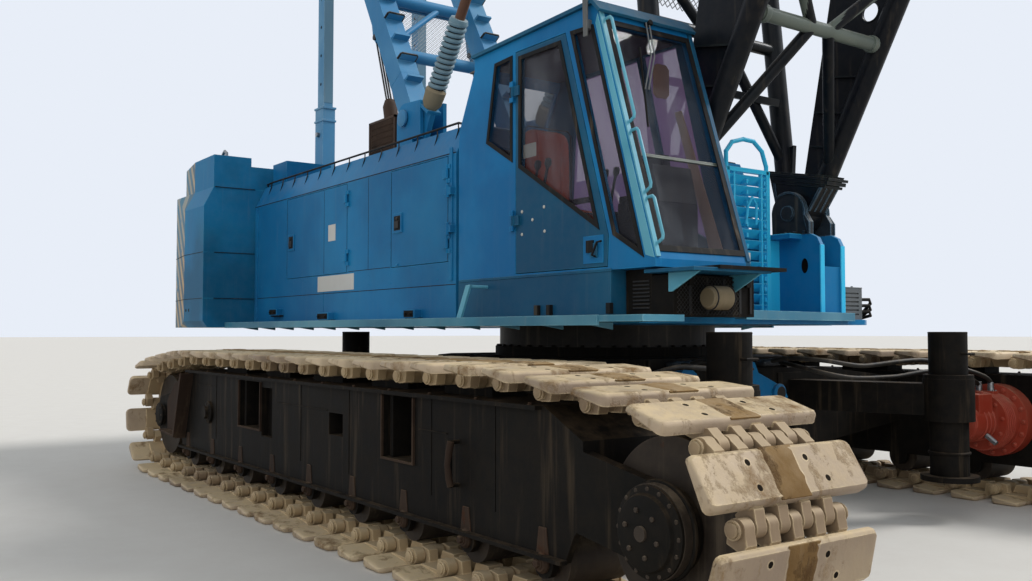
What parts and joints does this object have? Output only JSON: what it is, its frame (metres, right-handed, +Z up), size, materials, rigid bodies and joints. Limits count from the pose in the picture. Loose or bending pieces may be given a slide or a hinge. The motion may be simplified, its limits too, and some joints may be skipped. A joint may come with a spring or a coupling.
{
  "type": "lattice boom crawler crane",
  "caption": "Crawler crane with a raised lattice boom on its basic length, rear gantry, slab counterweight, side cab, machinery houses and winch drums.",
  "frame": {"origin": "middle of the bounding box in plan, on the ground under the tracks; the swing axis is 0.023 m in front of it", "axes": "+X towards the front of the crawlers and the cab, +Y to their left, +Z up"},
  "size_m": [11.2344, 6.2, 17.5708],
  "materials": {
    "grey_paint": "dusty",
    "hose_rubber": "dusty",
    "blue_paint": "sun-faded gloss",
    "light_blue_paint": "sun-faded gloss",
    "dark_paint": "dusty semi-gloss",
    "red_paint": "dusty gloss",
    "shoes": "worn, with dried earth",
    "steel": "greased",
    "castings": "worn",
    "engine_paint": "oily",
    "rusty_steel": "rusty",
    "wire_rope": "greased",
    "controls_plastic": "matte",
    "glass": "tinted",
    "seat_fabric": "faded",
    "hook_paint": "chipped"
  },
  "bodies": {
    "undercarriage": {"carbody": "dark_paint", "swing_bearing": "steel", "crawler_frames": "dark_paint", "track_right": "shoes", "track_left": "shoes", "sprockets": "castings", "idlers": "castings", "track_rollers": "castings", "travel_motors": "red_paint", "carbody_jacks": "dark_paint", "hose_unions": "steel", "hose_left_a": "hose_rubber", "hose_left_b": "hose_rubber", "hose_right_a": "hose_rubber", "hose_right_b": "hose_rubber"},
    "superstructure": {"turntable_frame": "blue_paint", "house_right": "blue_paint", "house_left": "blue_paint", "engine": "engine_paint", "engine_hood": "blue_paint", "silencer_box": "rusty_steel", "counterweight_base": "blue_paint", "counterweight_slab": "blue_paint", "counterweight_upper": "blue_paint", "counterweight_top": "blue_paint", "gantry_legs": "blue_paint", "gantry_struts": "blue_paint", "backstops": "light_blue_paint", "catwalks": "light_blue_paint", "steps": "light_blue_paint", "valve_box": "grey_paint", "boom_foot_ears": "dark_paint", "cab_shell": "blue_paint", "cab_outer_wall": "blue_paint", "cab_inner_wall": "blue_paint", "cab_plinth": "blue_paint", "cab_glass": "glass", "cab_seat": "seat_fabric", "cab_backrest": "seat_fabric", "cab_controls": "controls_plastic", "cab_heater": "dark_paint"},
    "cab_door": {"cab_door": "blue_paint", "cab_door_glass": "glass"},
    "door_right_rear": {"door_right_rear": "blue_paint"},
    "door_right_front": {"door_right_front": "blue_paint"},
    "door_left_rear": {"door_left_rear": "blue_paint"},
    "door_left_front": {"door_left_front": "blue_paint"},
    "gantry_sheaves": {"gantry_sheaves": "castings"},
    "hoist_falls": {"hoist_falls": "wire_rope"},
    "main_drum": {"main_drum": "wire_rope"},
    "auxiliary_drum": {"auxiliary_drum": "wire_rope"},
    "boom_hoist_drum": {"boom_hoist_drum": "wire_rope"},
    "boom": {"boom_base": "dark_paint", "boom_top": "dark_paint"},
    "boom_sheaves": {"boom_sheaves": "castings"},
    "pendants": {"pendants": "wire_rope"},
    "hook_block": {"hook_falls": "wire_rope", "hook_block": "hook_paint"},
    "hook_sheaves": {"hook_sheaves": "castings"},
    "hook": {"hook": "hook_paint"}
  },
  "joints": [
    {"name": "swing", "type": "hinge", "parent": "undercarriage", "child": "superstructure", "pos_m": [0.02283, 0, 1.38], "axis": [0, 0, 1], "continuous": true},
    {"name": "boom_luff", "type": "hinge", "parent": "superstructure", "child": "boom", "pos_m": [1.60283, 0, 2.372], "axis": [0, -1, 0], "range_deg": [-49, 2]},
    {"name": "boom_sheaves_turn", "type": "hinge", "parent": "boom", "child": "boom_sheaves", "pos_m": [5.23717, 0, 17.1908], "axis": [0, 1, 0], "continuous": true},
    {"name": "pendants_swing", "type": "hinge", "parent": "boom", "child": "pendants", "pos_m": [3.89698, 0, 17.31887], "axis": [0, -1, 0], "range_deg": [-0.4, 7.9]},
    {"name": "hook_hang", "type": "hinge", "parent": "boom", "child": "hook_block", "pos_m": [5.23717, 0, 17.1908], "axis": [0, -1, 0], "range_deg": [-2, 49]},
    {"name": "hook_sheaves_turn", "type": "hinge", "parent": "hook_block", "child": "hook_sheaves", "pos_m": [5.23717, 0, 12.5908], "axis": [0, 1, 0], "continuous": true},
    {"name": "hook_swivel", "type": "hinge", "parent": "hook_block", "child": "hook", "pos_m": [5.23717, 0, 12.0908], "axis": [0, 0, 1], "continuous": true},
    {"name": "gantry_sheaves_turn", "type": "hinge", "parent": "superstructure", "child": "gantry_sheaves", "pos_m": [-4.30717, 0, 7.26], "axis": [0, 1, 0], "continuous": true},
    {"name": "hoist_falls_swing", "type": "hinge", "parent": "superstructure", "child": "hoist_falls", "pos_m": [-4.30717, 0, 7.26], "axis": [0, -1, 0], "range_deg": [-41.2, 1.7]},
    {"name": "main_drum_turn", "type": "hinge", "parent": "superstructure", "child": "main_drum", "pos_m": [0.45283, 0, 2.3], "axis": [0, 1, 0], "continuous": true},
    {"name": "auxiliary_drum_turn", "type": "hinge", "parent": "superstructure", "child": "auxiliary_drum", "pos_m": [-0.57717, 0, 2.3], "axis": [0, 1, 0], "continuous": true},
    {"name": "boom_hoist_drum_turn", "type": "hinge", "parent": "superstructure", "child": "boom_hoist_drum", "pos_m": [-1.47717, 0, 2.3], "axis": [0, 1, 0], "continuous": true},
    {"name": "door_right_rear_swing", "type": "hinge", "parent": "superstructure", "child": "door_right_rear", "pos_m": [-1.71217, -1.74, 2.4015], "axis": [0, 0, 1], "range_deg": [0, 120]},
    {"name": "door_right_front_swing", "type": "hinge", "parent": "superstructure", "child": "door_right_front", "pos_m": [0.09983, -1.74, 2.4015], "axis": [0, 0, 1], "range_deg": [0, 120]},
    {"name": "door_left_rear_swing", "type": "hinge", "parent": "superstructure", "child": "door_left_rear", "pos_m": [-1.71217, 1.74, 2.4015], "axis": [0, 0, 1], "range_deg": [-120, 0]},
    {"name": "door_left_front_swing", "type": "hinge", "parent": "superstructure", "child": "door_left_front", "pos_m": [0.09983, 1.74, 2.4015], "axis": [0, 0, 1], "range_deg": [-120, 0]},
    {"name": "cab_door_swing", "type": "hinge", "parent": "superstructure", "child": "cab_door", "pos_m": [0.99783, -1.74, 2.6], "axis": [0, 0, 1], "range_deg": [-105, 0]}
  ],
  "couplings": [
    {"joint": "pendants_swing", "follows": "boom_luff", "ratio": -0.1607},
    {"joint": "hoist_falls_swing", "follows": "boom_luff", "ratio": 0.8393},
    {"joint": "hook_hang", "follows": "boom_luff", "ratio": -1}
  ]
}
